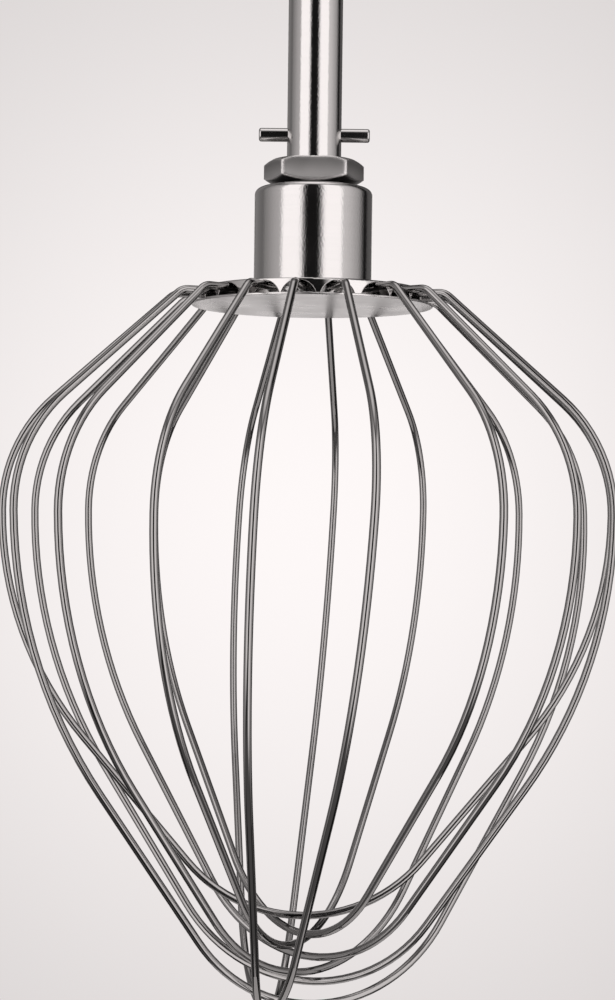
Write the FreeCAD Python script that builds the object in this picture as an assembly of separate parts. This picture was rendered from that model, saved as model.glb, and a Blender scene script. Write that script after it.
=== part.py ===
import FreeCAD, Part
import math
import os

os.makedirs("parts", exist_ok=True)

vector = FreeCAD.Vector
origin = vector(0, 0, 0)
along_x = vector(1, 0, 0)
up = vector(0, 0, 1)

# frame: origin where the cross pin meets the shaft's axis, +Z up the shaft, the pin along X

# drive shaft, plain above and threaded below
shaft_d = 12.0
shaft_length_above_pin = 36.0
shaft_end_chamfer = 1.0
thread_undersize = 0.15
thread_gap = 0.05
thread_length_in_hub = 19.0
shank_length_in_nut = 0.4

# cross pin through the shaft
pin_d = 3.0
pin_length = 24.4
pin_end_round = 0.5
pin_groove_width = 0.8
pin_groove_depth = 0.5
pin_hole_countersink = 0.35

# lock nut: six flats, the front and back pair wider than the rest
nut_below_pin = 5.9
nut_height = 6.0
nut_across_flats = 17.0
nut_across_corners = 22.0
nut_face_bevel = 1.6
nut_face_angle = 30.0
nut_seat_width = 0.6
nut_seat_angle = 25.0
nut_bore_chamfer = 0.7

# hub: round collar with a wider flange that carries the wire ends
collar_d = 26.0
collar_height = 22.05
collar_edge_round = 1.5
flange_width = 4.0
hub_bore_spare = 1.2
seat_gap = 0.05

# pan over the flange, with a thick rim and one half-moon arch in it for each wire leg
pan_d = 48.0
pan_sheet = 0.5
pan_rim_width = 2.8
pan_inner_height = 2.8
pan_edge_round = 0.35
arch_radius = 3.85
arch_bite = 0.1

# flat plate that closes the pan from below
plate_d = 53.0
plate_thickness = 0.5
plate_edge_round = 0.15

# wire cage
wire_d = 1.7
wire_end_gap = 0.4
cage_turn_angle = 2.7
rim_overhang = 3.7
rim_bend_radius = 3.5
leg_angle = 41.6
shoulder_radius = 33.0
cage_radius = 67.3
bottom_radius = 34.0
inmost_loop_drop = 137.0
loop_gap = 1.05
inmost_taper_angle = 40.2
outmost_taper_angle = 31.6
# order in which the loops lie over one another at the bottom, the inmost first
loop_layer = (0, 5, 3, 1, 7, 8, 2, 4, 6)
# lean of each hand-set loop out of its own plane and its swing from even spacing, in degrees
loop_lean_angle = (1.0, -0.1, 0.0, -0.9, -3.5, -2.6, -0.6, 1.2, 4.2)
loop_swing_angle = (0.4, -1.9, -0.3, 1.4, 0.1, 0.2, 1.7, -1.0, -0.2)

# levels and radii worked out from the sizes above
shaft_r = shaft_d / 2
thread_r = shaft_r - thread_undersize / 2
bore_r = thread_r + thread_gap
pin_r = pin_d / 2
collar_r = collar_d / 2
flange_r = collar_r + flange_width
pan_r = pan_d / 2
plate_r = plate_d / 2
wire_r = wire_d / 2
nut_top = -nut_below_pin
collar_top = nut_top - nut_height
pan_top = collar_top - collar_height
flange_top = pan_top - pan_sheet
plate_top = flange_top - pan_inner_height
wire_level = flange_top - seat_gap - wire_r
wire_end_at = collar_r + wire_end_gap
rim_bend_at = plate_r + rim_overhang
loop_step = wire_d + loop_gap
loop_count = len(loop_layer)
loop_turn = [cage_turn_angle - j * 180.0 / loop_count + loop_swing_angle[j] for j in range(loop_count)]


def save(name, shape):
    shape.exportStep("parts/" + name + ".step")


def turned(shape, angle):
    copy = shape.copy()
    copy.rotate(origin, up, angle)
    return copy


def at_each_leg(cutter):
    return [turned(cutter, angle + half) for angle in loop_turn for half in (0, 180)]


def rim_edges(shape, level):
    # closed round edges of a turned piece at one level
    rounds = [e for e in shape.Edges if len(e.Vertexes) == 1]
    return [e for e in rounds if abs(e.BoundBox.ZMax - level) < 1e-6 and e.BoundBox.ZLength < 1e-6]


def revolved(points):
    outline = Part.makePolygon([vector(r, 0, z) for r, z in points + points[:1]])
    return Part.Face(outline).revolve(origin, up, 360)


def rise(run, angle):
    return run * math.tan(math.radians(angle))


# drive shaft: turned outline, then the cross hole with its two small countersinks
thread_top = nut_top - shank_length_in_nut
thread_end = collar_top - thread_length_in_hub
shaft = revolved([
    (0, thread_end),
    (thread_r - shaft_end_chamfer, thread_end),
    (thread_r, thread_end + shaft_end_chamfer),
    (thread_r, thread_top),
    (shaft_r, thread_top),
    (shaft_r, shaft_length_above_pin - shaft_end_chamfer),
    (shaft_r - shaft_end_chamfer, shaft_length_above_pin),
    (0, shaft_length_above_pin),
])
shaft = shaft.cut(Part.makeCylinder(pin_r, 2 * shaft_d, vector(-shaft_d, 0, 0), along_x))
sink_depth = 2 * pin_hole_countersink
for side in (-1, 1):
    sink_start = vector(side * (shaft_r - pin_hole_countersink), 0, 0)
    sink = Part.makeCone(pin_r, pin_r + sink_depth, sink_depth, sink_start, vector(side, 0, 0))
    shaft = shaft.cut(sink)
save("drive_shaft", shaft)

# cross pin with rounded ends and a groove along one free end
pin = Part.makeCylinder(pin_r, pin_length, vector(-pin_length / 2, 0, 0), along_x)
pin = pin.makeFillet(pin_end_round, [e for e in pin.Edges if len(e.Vertexes) == 1])
groove_length = pin_length / 2 - shaft_r - 2 * pin_end_round
groove_corner = vector(
    -pin_length / 2 + pin_end_round, -pin_r - pin_d + pin_groove_depth, -pin_groove_width / 2
)
pin = pin.cut(Part.makeBox(groove_length, pin_d, pin_groove_width, groove_corner))
save("drive_pin", pin)

# lock nut: a prism of six flats cut by a turned blank with a cone at each face and a chamfered bore
corner_r = nut_across_corners / 2
flat_y = nut_across_flats / 2
flat_x = math.sqrt(corner_r ** 2 - flat_y ** 2)
half_outline = [(corner_r, 0), (flat_x, flat_y), (-flat_x, flat_y)]
corners = [vector(x, y, collar_top) for x, y in half_outline]
corners += [vector(-x, -y, collar_top) for x, y in half_outline]
prism = Part.Face(Part.makePolygon(corners + corners[:1])).extrude(nut_height * up)
seat_r = bore_r + nut_seat_width
blank = revolved([
    (bore_r, collar_top),
    (seat_r, collar_top),
    (corner_r, collar_top + rise(corner_r - seat_r, nut_seat_angle)),
    (corner_r, nut_top - rise(nut_face_bevel, nut_face_angle)),
    (corner_r - nut_face_bevel, nut_top),
    (bore_r + nut_bore_chamfer, nut_top),
    (bore_r, nut_top - nut_bore_chamfer),
])
save("lock_nut", prism.common(blank))

# hub: turned collar and flange with a blind bore, then one groove for each wire end
bore_end = thread_end - hub_bore_spare
hub = revolved([
    (0, plate_top),
    (flange_r, plate_top),
    (flange_r, flange_top),
    (collar_r, flange_top),
    (collar_r, collar_top),
    (bore_r, collar_top),
    (bore_r, bore_end),
    (0, bore_end),
])
outer_rim = [e for e in rim_edges(hub, collar_top) if e.BoundBox.XLength > collar_d - 1e-3]
hub = hub.makeFillet(collar_edge_round, outer_rim)
groove_r = wire_r + seat_gap
groove = Part.makeCylinder(groove_r, 2 * flange_width, vector(collar_r, 0, wire_level), along_x)
groove_mouth = vector(collar_r, -groove_r, wire_level)
groove = groove.fuse(Part.makeBox(2 * flange_width, 2 * groove_r, 2 * groove_r, groove_mouth))
hub = hub.cut(at_each_leg(groove))
save("hub_collar", hub)

# pan: flat top and thick rim, then one half-moon arch for each wire leg
rim_inner_r = pan_r - pan_rim_width
pan = revolved([
    (collar_r + seat_gap, flange_top),
    (rim_inner_r, flange_top),
    (rim_inner_r, plate_top),
    (pan_r, plate_top),
    (pan_r, pan_top),
    (collar_r + seat_gap, pan_top),
])
outer_rim = [e for e in rim_edges(pan, pan_top) if e.BoundBox.XLength > pan_d - 1e-3]
pan = pan.makeFillet(pan_edge_round, outer_rim)
arch_centre = vector(rim_inner_r - arch_radius, 0, flange_top + arch_bite - arch_radius)
arch = Part.makeCylinder(arch_radius, pan_rim_width + 2 * arch_radius, arch_centre, along_x)
pan = pan.cut(at_each_leg(arch))
save("wire_pan", pan)

# closing plate
plate = Part.makeCylinder(plate_r, plate_thickness, vector(0, 0, plate_top - plate_thickness))
plate = plate.makeFillet(plate_edge_round, [e for e in plate.Edges if len(e.Vertexes) == 1])
save("base_plate", plate)


def point_on(centre, radius, angle):
    return vector(centre.x + radius * math.cos(angle), 0, centre.z + radius * math.sin(angle))


def arc(centre, radius, start, end):
    middle = (start + end) / 2
    return Part.Arc(*[point_on(centre, radius, a) for a in (start, middle, end)]).toShape()


def half_loop(layer):
    # one leg in the plane of X and Z: wire end, rim bend, straight, shoulder, side, taper, bottom
    fall = math.radians(leg_angle)
    taper_change = (outmost_taper_angle - inmost_taper_angle) / (loop_count - 1)
    taper = math.radians(inmost_taper_angle + layer * taper_change)
    quarter = math.pi / 2
    bend_start = rim_bend_at - rim_bend_radius * math.tan(fall / 2)
    bend_centre = vector(bend_start, 0, wire_level - rim_bend_radius)
    shoulder_x = cage_radius - shoulder_radius
    shoulder_start = shoulder_x + shoulder_radius * math.sin(fall)
    leg_fall = (shoulder_start - rim_bend_at) * math.tan(fall)
    shoulder_z = wire_level - leg_fall - shoulder_radius * math.cos(fall)
    shoulder_centre = vector(shoulder_x, 0, shoulder_z)
    # the side arc's radius is the one whose straight taper runs into the bottom arc of this layer
    depth = inmost_loop_drop + layer * loop_step - (wire_level - shoulder_z)
    across = cage_radius - bottom_radius * math.cos(taper)
    down = depth - bottom_radius * (1 - math.sin(taper))
    side_radius = (down * math.sin(taper) - across * math.cos(taper)) / (1 - math.cos(taper))
    side_centre = vector(cage_radius - side_radius, 0, shoulder_z)
    bottom_centre = vector(0, 0, shoulder_z - depth + bottom_radius)
    rim_bend = arc(bend_centre, rim_bend_radius, quarter, quarter - fall)
    shoulder = arc(shoulder_centre, shoulder_radius, quarter - fall, 0)
    side = arc(side_centre, side_radius, 0, -taper)
    bottom = arc(bottom_centre, bottom_radius, -taper, -quarter)
    wire_end = Part.makeLine(vector(wire_end_at, 0, wire_level), vector(bend_start, 0, wire_level))
    leg = Part.makeLine(
        point_on(bend_centre, rim_bend_radius, quarter - fall),
        point_on(shoulder_centre, shoulder_radius, quarter - fall),
    )
    straight = Part.makeLine(
        point_on(side_centre, side_radius, -taper), point_on(bottom_centre, bottom_radius, -taper)
    )
    return [wire_end, rim_bend, leg, shoulder, side, straight, bottom]


def wire_loop(layer, lean, angle):
    leg = half_loop(layer)
    other_leg = [edge.mirror(origin, along_x) for edge in leg]
    path = Part.Wire(Part.__sortEdges__(leg + other_leg))
    section = Part.makeCircle(wire_r, vector(wire_end_at, 0, wire_level), along_x)
    loop = path.makePipeShell([Part.Wire(section)], True, False)
    loop.rotate(vector(0, 0, wire_level), along_x, lean)
    return turned(loop, angle)


for j in range(loop_count):
    loop = wire_loop(loop_layer[j], loop_lean_angle[j], loop_turn[j])
    save("wire_loop_" + str(j + 1), loop)
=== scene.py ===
import bpy
import math
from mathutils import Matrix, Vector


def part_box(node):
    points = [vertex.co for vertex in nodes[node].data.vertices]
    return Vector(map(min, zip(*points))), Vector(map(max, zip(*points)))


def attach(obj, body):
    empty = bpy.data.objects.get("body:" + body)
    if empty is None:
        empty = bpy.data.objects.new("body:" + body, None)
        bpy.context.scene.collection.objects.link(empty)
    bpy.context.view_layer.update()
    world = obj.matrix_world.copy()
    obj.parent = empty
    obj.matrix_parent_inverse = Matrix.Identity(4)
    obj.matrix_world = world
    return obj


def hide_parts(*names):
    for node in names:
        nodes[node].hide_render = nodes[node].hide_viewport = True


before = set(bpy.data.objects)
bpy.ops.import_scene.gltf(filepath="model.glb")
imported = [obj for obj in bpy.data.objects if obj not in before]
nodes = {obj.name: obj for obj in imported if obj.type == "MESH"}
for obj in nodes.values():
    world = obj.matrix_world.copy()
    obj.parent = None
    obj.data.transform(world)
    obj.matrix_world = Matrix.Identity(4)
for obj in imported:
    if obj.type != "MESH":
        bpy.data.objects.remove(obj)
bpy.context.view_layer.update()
print("frame loaded:", len(nodes), "nodes")


# view: level eye line at mid-picture, the whisk hanging a touch off plumb
view = {
    "eye": (-0.0005, -0.4288, -0.0803),
    "roll": 0.0125,  # radians, the shaft's top leans right
    "focalPixels": 1947,
    "picturePixels": 1000,
    "sensorHeight": 24,
    "nearest": 0.01,
}


def makeCamera():
    data = bpy.data.cameras.new("photoCamera")
    data.sensor_fit = "VERTICAL"
    data.sensor_height = view["sensorHeight"]
    data.lens = view["sensorHeight"] * view["focalPixels"] / view["picturePixels"]
    data.clip_start = view["nearest"]
    camera = bpy.data.objects.new("photoCamera", data)
    camera.location = view["eye"]
    camera.rotation_euler = (math.pi / 2, -view["roll"], 0)
    bpy.context.scene.collection.objects.link(camera)
    bpy.context.scene.camera = camera


def addNode(tree, kind, **settings):
    node = tree.nodes.new(kind)
    for name, value in settings.items():
        setattr(node, name, value)
    return node


def mathNode(tree, operation, first, second=None):
    node = addNode(tree, "ShaderNodeMath", operation=operation)
    for place, value in enumerate((first, second)):
        if value is None:
            continue
        if isinstance(value, (int, float)):
            node.inputs[place].default_value = value
        else:
            tree.links.new(value, node.inputs[place])
    return node.outputs[0]


def rampTo(tree, value, low, high, lowOut=0.0, highOut=1.0):
    # smooth step of a value between two levels
    node = addNode(tree, "ShaderNodeMapRange", interpolation_type="SMOOTHSTEP")
    tree.links.new(value, node.inputs["Value"])
    node.inputs["From Min"].default_value = low
    node.inputs["From Max"].default_value = high
    node.inputs["To Min"].default_value = lowOut
    node.inputs["To Max"].default_value = highOut
    return node.outputs["Result"]


def mixValue(tree, factor, first, second):
    node = addNode(tree, "ShaderNodeMix", data_type="FLOAT")
    for place, value in (("Factor", factor), ("A", first), ("B", second)):
        if isinstance(value, (int, float)):
            node.inputs[place].default_value = value
        else:
            tree.links.new(value, node.inputs[place])
    return node.outputs["Result"]


studio = {
    "backdropMiddle": 0.99,  # a round glow on the backdrop
    "backdropEdge": 0.66,
    "backdropGlow": 24,  # degrees from its middle
    "backdropReach": (17, 21),  # covers the picture, the dark flags begin beside it
    "warmth": (1.0, 0.953, 0.947),
    "shadow": 0.01,
    "ceiling": 1.25,
    "ceilingRise": (48, 84),  # slopes in degrees, as are the next two
    "panelTop": 52,
    "panelFade": 8,
}
panels = {
    # bearings in degrees, 0 towards the eye and + to the right, edge softness,
    # foot and top as slopes in degrees, and the level at each side
    "leftBox": {"from": -65, "to": -21, "edges": (4, 7), "foot": -34, "levels": (1.4, 1.4)},
    "rightBox": {"from": 17, "to": 59, "edges": (8, 2), "foot": -50, "levels": (1.4, 1.4)},
    "leftWall": {"from": -116, "to": -64, "edges": (9, 2), "foot": -40, "levels": (0.26, 0.56)},
    "rightWall": {"from": 58, "to": 108, "edges": (2, 12), "foot": -40, "levels": (0.80, 0.40)},
    "leftCorner": {"from": -158, "to": -108, "edges": (6, 6), "foot": -40, "levels": (0.26, 0.17)},
    "rightCorner": {"from": 128, "to": 158, "edges": (4, 5), "foot": -40, "levels": (0.10, 0.13)},
    "lowFront": {"from": -80, "to": 80, "edges": (20, 20), "foot": -98, "top": -44, "levels": (0.13, 0.13)},
}


def panelLight(tree, bearing, slope, panel):
    firstEdge, lastEdge = panel["edges"]
    top, foot, fade = panel.get("top", studio["panelTop"]), panel["foot"], studio["panelFade"]
    below = rampTo(tree, slope, top - fade, top + fade, 1, 0)
    height = mathNode(tree, "MULTIPLY", below, rampTo(tree, slope, foot - fade, foot + fade))
    start = rampTo(tree, bearing, panel["from"] - firstEdge, panel["from"] + firstEdge)
    end = rampTo(tree, bearing, panel["to"] - lastEdge, panel["to"] + lastEdge, 1, 0)
    level = rampTo(tree, bearing, panel["from"], panel["to"], *panel["levels"])
    across = mathNode(tree, "MULTIPLY", start, end)
    return mathNode(tree, "MULTIPLY", mathNode(tree, "MULTIPLY", across, height), level)


def makeWorld():
    world = bpy.data.worlds.new("studioRoom")
    bpy.context.scene.world = world
    world.use_nodes = True
    tree = world.node_tree
    tree.nodes.clear()
    coords = addNode(tree, "ShaderNodeTexCoord")
    parts = addNode(tree, "ShaderNodeSeparateXYZ")
    tree.links.new(coords.outputs["Generated"], parts.inputs[0])
    right, depth, height = parts.outputs["X"], parts.outputs["Y"], parts.outputs["Z"]
    toDegrees = math.degrees(1)
    offMiddle = mathNode(tree, "MULTIPLY", mathNode(tree, "ARCCOSINE", depth), toDegrees)
    slope = mathNode(tree, "MULTIPLY", mathNode(tree, "ARCSINE", height), toDegrees)
    towardsEye = mathNode(tree, "MULTIPLY", depth, -1)
    bearing = mathNode(tree, "MULTIPLY", mathNode(tree, "ARCTAN2", right, towardsEye), toDegrees)
    backdrop = rampTo(
        tree, offMiddle, 0, studio["backdropGlow"], studio["backdropMiddle"], studio["backdropEdge"]
    )
    room = rampTo(tree, slope, *studio["ceilingRise"], studio["shadow"], studio["ceiling"])
    for panel in panels.values():
        room = mathNode(tree, "MAXIMUM", room, panelLight(tree, bearing, slope, panel))
    seen = rampTo(tree, offMiddle, *studio["backdropReach"], 1, 0)
    level = mixValue(tree, seen, room, backdrop)
    tint = addNode(tree, "ShaderNodeCombineColor")
    for channel, share in enumerate(studio["warmth"]):
        tree.links.new(mathNode(tree, "MULTIPLY", level, share), tint.inputs[channel])
    light = addNode(tree, "ShaderNodeBackground")
    output = addNode(tree, "ShaderNodeOutputWorld")
    tree.links.new(tint.outputs[0], light.inputs["Color"])
    tree.links.new(light.outputs[0], output.inputs["Surface"])


floorSheet = {
    "centre": (0, 0.5, -1.5),
    "radius": 0.85,
    "sides": 96,
    "shade": (0.80, 0.78, 0.77, 1),
    "rough": 0.9,
    "pale": 0.85,  # share that takes the backdrop's tone, the rest is lit paper
    "lift": 1.08,  # makes up for the lit paper being darker
}


def applyPlace():
    bpy.ops.object.transform_apply(location=True, rotation=True, scale=True)


def makeFloor():
    bpy.ops.object.select_all(action="DESELECT")
    bpy.ops.mesh.primitive_circle_add(
        vertices=floorSheet["sides"], radius=floorSheet["radius"], fill_type="NGON",
        location=floorSheet["centre"],
    )
    floor = bpy.context.object
    floor.name = "paleFloor"
    applyPlace()
    paint = bpy.data.materials.new("palePaper")
    paint.use_nodes = True
    tree = paint.node_tree
    shader = tree.nodes["Principled BSDF"]
    shader.inputs["Base Color"].default_value = floorSheet["shade"]
    shader.inputs["Roughness"].default_value = floorSheet["rough"]
    glow = addNode(tree, "ShaderNodeEmission")  # the tone of the backdrop's edge
    level = floorSheet["lift"] * studio["backdropEdge"]
    glow.inputs["Color"].default_value = [level * share for share in studio["warmth"]] + [1]
    path = addNode(tree, "ShaderNodeLightPath")
    blend = addNode(tree, "ShaderNodeMixShader")
    seen = path.outputs["Is Camera Ray"]
    for ray in ("Is Glossy Ray", "Is Transmission Ray"):
        seen = mathNode(tree, "MAXIMUM", seen, path.outputs[ray])
    tree.links.new(mathNode(tree, "MULTIPLY", seen, floorSheet["pale"]), blend.inputs["Fac"])
    tree.links.new(shader.outputs[0], blend.inputs[1])
    tree.links.new(glow.outputs[0], blend.inputs[2])
    tree.links.new(blend.outputs[0], tree.nodes["Material Output"].inputs["Surface"])
    floor.data.materials.append(paint)


makeCamera()
makeWorld()
makeFloor()
print("studio: camera, two softboxes, backdrop and floor")


def makeGroup(name, inputs, outputs):
    group = bpy.data.node_groups.new(name, "ShaderNodeTree")
    for label, value in inputs:
        socket = group.interface.new_socket(label, in_out="INPUT", socket_type="NodeSocketFloat")
        socket.default_value = value
    for label in outputs:
        group.interface.new_socket(label, in_out="OUTPUT", socket_type="NodeSocketFloat")
    start = group.nodes.new("NodeGroupInput")
    end = group.nodes.new("NodeGroupOutput")
    return group, start, end


def noiseOver(tree, position, scale, detail):
    # noise over object coordinates stretched by a scale for each axis
    mapping = addNode(tree, "ShaderNodeMapping")
    tree.links.new(position, mapping.inputs["Vector"])
    mapping.inputs["Scale"].default_value = scale
    noise = addNode(tree, "ShaderNodeTexNoise")
    noise.inputs["Scale"].default_value = 1
    noise.inputs["Detail"].default_value = detail
    tree.links.new(mapping.outputs[0], noise.inputs["Vector"])
    return noise.outputs["Fac"]


latheRings = {
    # noise scale for each axis, detail and share
    "fine": {"scale": (60, 60, 9000), "detail": 3, "share": 0.7},
    "broad": {"scale": (25, 25, 1100), "detail": 2, "share": 0.3},
}


def ringNoise(tree, position, ring):
    noise = noiseOver(tree, position, ring["scale"], ring["detail"])
    return mathNode(tree, "MULTIPLY", noise, ring["share"])


def makeTurnedLines():
    # rings left by a lathe round the shaft's axis
    group, start, end = makeGroup("turnedLines", [("Depth", 1.0)], ["Height", "Shade"])
    position = addNode(group, "ShaderNodeTexCoord").outputs["Object"]
    fine = ringNoise(group, position, latheRings["fine"])
    both = mathNode(group, "ADD", fine, ringNoise(group, position, latheRings["broad"]))
    group.links.new(mathNode(group, "MULTIPLY", both, start.outputs["Depth"]), end.inputs["Height"])
    group.links.new(both, end.inputs["Shade"])
    return group


gripMarks = {
    "smudgeScale": 120.0,
    "smudgeDetail": 4,
    "smudgeEdge": (0.35, 0.7),  # where a smudge begins and is full
    "gritScale": (2400, 2400, 2400),
    "gritDetail": 3,
}


def makeHandlingMarks():
    # smudges and fine grit, the same on every piece that is gripped or washed
    inputs = [("Low", 0.2), ("High", 0.3), ("Size", gripMarks["smudgeScale"])]
    group, start, end = makeGroup("handlingMarks", inputs, ["Roughness", "Grit"])
    position = addNode(group, "ShaderNodeTexCoord").outputs["Object"]
    smudge = addNode(group, "ShaderNodeTexNoise")
    smudge.inputs["Detail"].default_value = gripMarks["smudgeDetail"]
    group.links.new(position, smudge.inputs["Vector"])
    group.links.new(start.outputs["Size"], smudge.inputs["Scale"])
    patch = rampTo(group, smudge.outputs["Fac"], *gripMarks["smudgeEdge"])
    rough = addNode(group, "ShaderNodeMapRange")
    group.links.new(patch, rough.inputs["Value"])
    group.links.new(start.outputs["Low"], rough.inputs["To Min"])
    group.links.new(start.outputs["High"], rough.inputs["To Max"])
    group.links.new(rough.outputs["Result"], end.inputs["Roughness"])
    grit = noiseOver(group, position, gripMarks["gritScale"], gripMarks["gritDetail"])
    group.links.new(grit, end.inputs["Grit"])
    return group


rubbedEdge = {
    "samples": 8,
    "turn": (0.004, 0.09),  # how far the rounded normal leaves the face's own
    "level": 0.86,
    "rough": 0.2,
}


def makeEdgeWear():
    # bright rubbed metal along sharp edges
    group, start, end = makeGroup("edgeWear", [("Radius", 0.0003)], ["Mask"])
    group.interface.new_socket("Normal", in_out="OUTPUT", socket_type="NodeSocketVector")
    rounded = addNode(group, "ShaderNodeBevel", samples=rubbedEdge["samples"])
    group.links.new(start.outputs["Radius"], rounded.inputs["Radius"])
    surface = addNode(group, "ShaderNodeNewGeometry")
    alike = addNode(group, "ShaderNodeVectorMath", operation="DOT_PRODUCT")
    group.links.new(rounded.outputs["Normal"], alike.inputs[0])
    group.links.new(surface.outputs["Normal"], alike.inputs[1])
    turn = mathNode(group, "SUBTRACT", 1, alike.outputs["Value"])
    group.links.new(rampTo(group, turn, *rubbedEdge["turn"]), end.inputs["Mask"])
    group.links.new(rounded.outputs["Normal"], end.inputs["Normal"])
    return group


turnedLines = makeTurnedLines()
handlingMarks = makeHandlingMarks()
edgeWear = makeEdgeWear()

steelGrain = {
    "ringTurn": 0.25,  # gloss stretched round the axis
    "bumpStrength": 0.25,
    "bumpDepth": 0.00002,
    "streak": 0.1,  # how much the rings change the colour
    # the nut's painted shade on faces that look down is full below the first height and gone above the
    # second
    "paintedShadeSlope": (-0.5, -0.3),  # height of a normal that looks down
}
finishes = {
    # colour, roughness low and high, anisotropy, depth of rings and grit, and what some have besides:
    # wear is the width of rubbed edges in metres, under the painted shade of faces that look down,
    # fade the painted shade at an upper level against a lower one, darker at the top
    "groundShaft": {"colour": 0.70, "rough": (0.08, 0.13), "stretch": 0.3, "rings": 0.10, "grit": 3.5},
    "turnedCollar": {"colour": 0.70, "rough": (0.08, 0.13), "stretch": 0.3, "rings": 0.12, "grit": 5.0},
    "satinNut": {
        "colour": 0.68, "rough": (0.42, 0.50), "stretch": 0, "rings": 0, "grit": 0.6,
        # painted shade: faces that look down go dark and the top falls to half its colour
        "wear": 0.0012, "under": 0.12, "fade": (-0.0106, -0.0064, 0.5),
    },
    "drawnPin": {"colour": 0.62, "rough": (0.10, 0.15), "stretch": 0, "rings": 0, "grit": 0.1},
    "turnedPan": {
        "colour": 0.72, "rough": (0.07, 0.13), "stretch": 0, "rings": 0.05, "grit": 0.1, "wear": 0.0002,
    },
    "satinPlate": {
        "colour": 0.76, "rough": (0.27, 0.31), "stretch": 0, "rings": 0, "grit": 0.2, "wear": 0.0002,
    },
    "polishedWire": {"colour": 0.40, "rough": (0.04, 0.08), "stretch": 0, "rings": 0, "grit": 0.02},
}
warmSteel = (1.0, 0.986, 0.979)


def nutPaintedShade(tree, finish):
    # painted shade on the nut: the share of the full colour that each spot keeps, low on faces that look
    # down at the collar and falling to half towards its top
    coords = addNode(tree, "ShaderNodeTexCoord")
    facet, place = (addNode(tree, "ShaderNodeSeparateXYZ") for _ in range(2))
    tree.links.new(coords.outputs["Normal"], facet.inputs[0])
    tree.links.new(coords.outputs["Object"], place.inputs[0])
    below = rampTo(tree, facet.outputs["Z"], *steelGrain["paintedShadeSlope"], finish["under"], 1)
    low, high, upper = finish["fade"]
    return mathNode(tree, "MULTIPLY", below, rampTo(tree, place.outputs["Z"], low, high, 1, upper))


def makeSteel(name):
    finish = finishes[name]
    steel = bpy.data.materials.new(name)
    steel.use_nodes = True
    tree = steel.node_tree
    shader = tree.nodes["Principled BSDF"]
    shader.inputs["Metallic"].default_value = 1
    shader.inputs["Anisotropic"].default_value = finish["stretch"]
    shader.inputs["Anisotropic Rotation"].default_value = steelGrain["ringTurn"]
    marks = addNode(tree, "ShaderNodeGroup", node_tree=handlingMarks)
    marks.inputs["Low"].default_value, marks.inputs["High"].default_value = finish["rough"]
    lines = addNode(tree, "ShaderNodeGroup", node_tree=turnedLines)
    lines.inputs["Depth"].default_value = finish["rings"]
    grit = mathNode(tree, "MULTIPLY", marks.outputs["Grit"], finish["grit"])
    height = mathNode(tree, "ADD", lines.outputs["Height"], grit)
    bump = addNode(tree, "ShaderNodeBump")
    bump.inputs["Strength"].default_value = steelGrain["bumpStrength"]
    bump.inputs["Distance"].default_value = steelGrain["bumpDepth"]
    tree.links.new(height, bump.inputs["Height"])
    tree.links.new(bump.outputs[0], shader.inputs["Normal"])
    streak = mathNode(tree, "MULTIPLY", lines.outputs["Shade"], steelGrain["streak"])
    tone = mathNode(tree, "ADD", streak, 1 - steelGrain["streak"])
    # the nut gets painted shade: dark on faces that look down and darker towards its top
    if "fade" in finish:
        tone = mathNode(tree, "MULTIPLY", tone, nutPaintedShade(tree, finish))
    level = mathNode(tree, "MULTIPLY", tone, finish["colour"])
    rough = marks.outputs["Roughness"]
    if "wear" in finish:
        worn = addNode(tree, "ShaderNodeGroup", node_tree=edgeWear)
        worn.inputs["Radius"].default_value = finish["wear"]
        level = mixValue(tree, worn.outputs["Mask"], level, rubbedEdge["level"])
        rough = mixValue(tree, worn.outputs["Mask"], rough, rubbedEdge["rough"])
        tree.links.new(worn.outputs["Normal"], bump.inputs["Normal"])
    tint = addNode(tree, "ShaderNodeCombineColor")
    for channel, share in enumerate(warmSteel):
        tree.links.new(mathNode(tree, "MULTIPLY", level, share), tint.inputs[channel])
    tree.links.new(tint.outputs[0], shader.inputs["Base Color"])
    tree.links.new(rough, shader.inputs["Roughness"])
    return steel


steels = {name: makeSteel(name) for name in finishes}

threadedShaft = {
    # metres: the plain shank, then an M12 right-hand thread below it
    "radius": 0.006,
    "sides": 160,
    "endChamfer": 0.001,
    "threadTop": -0.0063,
    "threadCrest": 0.005925,
    "threadRoot": 0.00494,
    "pitch": 0.00175,
    "threadSteps": 72,
    "crestShare": 1 / 8,  # flats of the tooth, as shares of the pitch
    "rootShare": 1 / 4,
    "sinkRadius": 0.0022,
    "sinkDepth": 0.0007,
    "sinkSides": 64,
    "weld": 1e-6,  # points closer than this are one
    "smoothAngle": 25,  # degrees
}


def selectVertices(mesh, wanted):
    # marks what edit mode then works on, by place
    bpy.ops.object.mode_set(mode="EDIT")
    bpy.ops.mesh.select_mode(type="VERT")
    bpy.ops.mesh.select_all(action="DESELECT")
    bpy.ops.object.mode_set(mode="OBJECT")
    for vertex in mesh.vertices:
        vertex.select = wanted(vertex.co)
    bpy.ops.object.mode_set(mode="EDIT")


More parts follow.
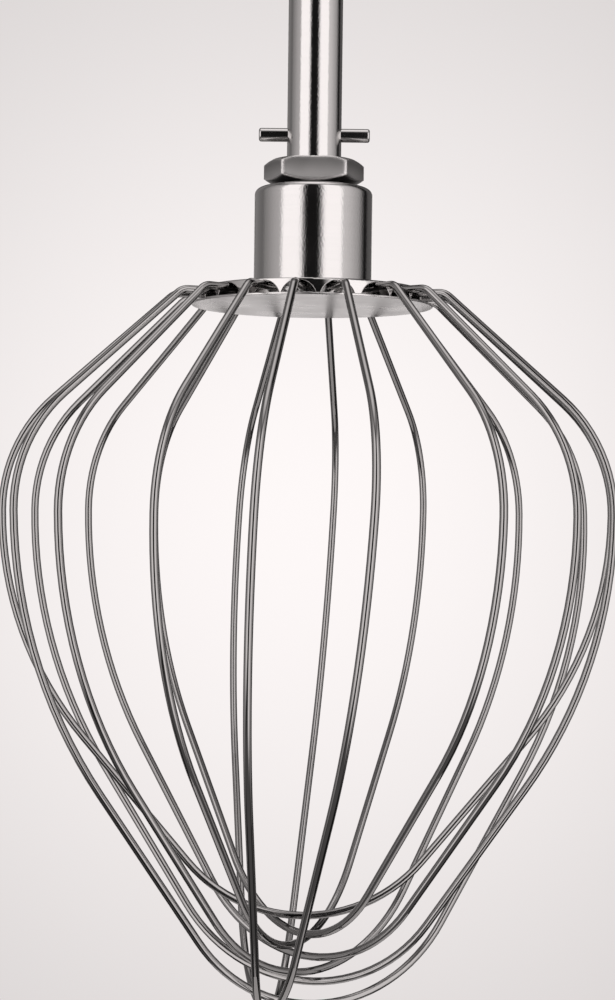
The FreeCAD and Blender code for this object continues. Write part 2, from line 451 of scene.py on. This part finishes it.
def makeThread(lowest):
    # one tooth of the outline, stood up beside the axis, then screwed down the shaft
    crest, root, pitch = threadedShaft["threadCrest"], threadedShaft["threadRoot"], threadedShaft["pitch"]
    top, weld = threadedShaft["threadTop"], threadedShaft["weld"]
    crestShare, rootShare = threadedShaft["crestShare"], threadedShaft["rootShare"]
    toothShare = 1 - rootShare
    turns = math.ceil((top - lowest) / pitch) + 2  # one spare at each end
    bpy.ops.object.select_all(action="DESELECT")
    bpy.ops.mesh.primitive_plane_add(size=1, rotation=(math.pi / 2, 0, 0))
    thread = bpy.context.object
    middle = (crest + root) / 2
    thread.scale = (crest - root, toothShare * pitch, 1)
    thread.location = (middle, 0, lowest - pitch)
    applyPlace()
    selectVertices(thread.data, lambda place: place.x > middle)
    taper = crestShare / toothShare
    bpy.ops.transform.resize(value=(1, 1, taper), center_override=(crest, 0, lowest - pitch))
    selectVertices(thread.data, lambda place: True)
    bpy.ops.mesh.delete(type="ONLY_FACE")
    selectVertices(thread.data, lambda place: place.x < middle)
    bpy.ops.mesh.select_mode(type="EDGE")
    bpy.ops.mesh.delete(type="EDGE")
    selectVertices(thread.data, lambda place: place.x < middle and place.z > lowest - pitch)
    bpy.ops.mesh.extrude_vertices_move(TRANSFORM_OT_translate={"value": (0, 0, rootShare * pitch)})
    bpy.ops.object.mode_set(mode="OBJECT")
    screw = thread.modifiers.new("helix", "SCREW")
    screw.axis = "Z"
    screw.angle = 2 * math.pi
    screw.screw_offset = pitch
    screw.iterations = turns
    screw.steps = screw.render_steps = threadedShaft["threadSteps"]
    screw.use_merge_vertices = True
    screw.merge_threshold = weld
    bpy.ops.object.modifier_apply(modifier=screw.name)
    selectVertices(thread.data, lambda place: True)
    bpy.ops.mesh.remove_doubles(threshold=weld)
    for level, away in ((lowest, -1), (top, 1)):
        bpy.ops.mesh.select_all(action="SELECT")
        bpy.ops.mesh.bisect(plane_co=(0, 0, level), plane_no=(0, 0, away), use_fill=True, clear_outer=True)
    bpy.ops.mesh.select_all(action="SELECT")
    bpy.ops.mesh.normals_make_consistent(inside=False)
    bpy.ops.object.mode_set(mode="OBJECT")
    return thread


def makeSinks():
    # cutters for the two small countersinks of the cross hole
    cutters = []
    depth, radius = threadedShaft["sinkDepth"], threadedShaft["radius"]
    for side in (-1, 1):
        bpy.ops.object.select_all(action="DESELECT")
        bpy.ops.mesh.primitive_cone_add(
            vertices=threadedShaft["sinkSides"], depth=depth,
            radius1=threadedShaft["sinkRadius"] - depth, radius2=threadedShaft["sinkRadius"],
            location=(side * radius, 0, 0), rotation=(0, side * math.pi / 2, 0),
        )
        applyPlace()
        cutters.append(bpy.context.object)
    for cutter in cutters:
        cutter.select_set(True)
    bpy.ops.object.join()
    return bpy.context.object


def makeThreadedShaft():
    low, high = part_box("drive_shaft")
    bottom, top = threadedShaft["threadTop"], high[2]
    thread = makeThread(low[2])
    sinks = makeSinks()
    bpy.ops.object.select_all(action="DESELECT")
    bpy.ops.mesh.primitive_cylinder_add(
        vertices=threadedShaft["sides"], radius=threadedShaft["radius"], depth=top - bottom,
        location=(0, 0, (top + bottom) / 2),
    )
    shaft = bpy.context.object
    shaft.name = "threadedShaft"
    applyPlace()
    selectVertices(shaft.data, lambda place: place.z > (top + bottom) / 2)
    bpy.ops.mesh.bevel(offset=threadedShaft["endChamfer"], segments=1)
    bpy.ops.object.mode_set(mode="OBJECT")
    cut = shaft.modifiers.new("countersinks", "BOOLEAN")
    cut.operation = "DIFFERENCE"
    cut.object = sinks
    bpy.ops.object.modifier_apply(modifier=cut.name)
    bpy.data.objects.remove(sinks, do_unlink=True)
    thread.select_set(True)
    shaft.select_set(True)
    bpy.context.view_layer.objects.active = shaft
    bpy.ops.object.join()
    bpy.ops.object.shade_smooth_by_angle(angle=math.radians(threadedShaft["smoothAngle"]))
    shaft.data.materials.clear()
    shaft.data.materials.append(steels["groundShaft"])
    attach(shaft, "shaft")
    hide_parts("drive_shaft")
    print("threaded shaft:", len(shaft.data.polygons), "faces")


makeThreadedShaft()

finishOf = {
    "drive_shaft": "groundShaft",
    "drive_pin": "drawnPin",
    "lock_nut": "satinNut",
    "hub_collar": "turnedCollar",
    "wire_pan": "turnedPan",
    "base_plate": "satinPlate",
}
for name, node in nodes.items():
    node.material_slots[0].material = steels[finishOf.get(name, "polishedWire")]
print("finishes:", len(steels), "steels on", len(nodes), "nodes")

bpy.context.scene.view_settings.view_transform = "Standard"
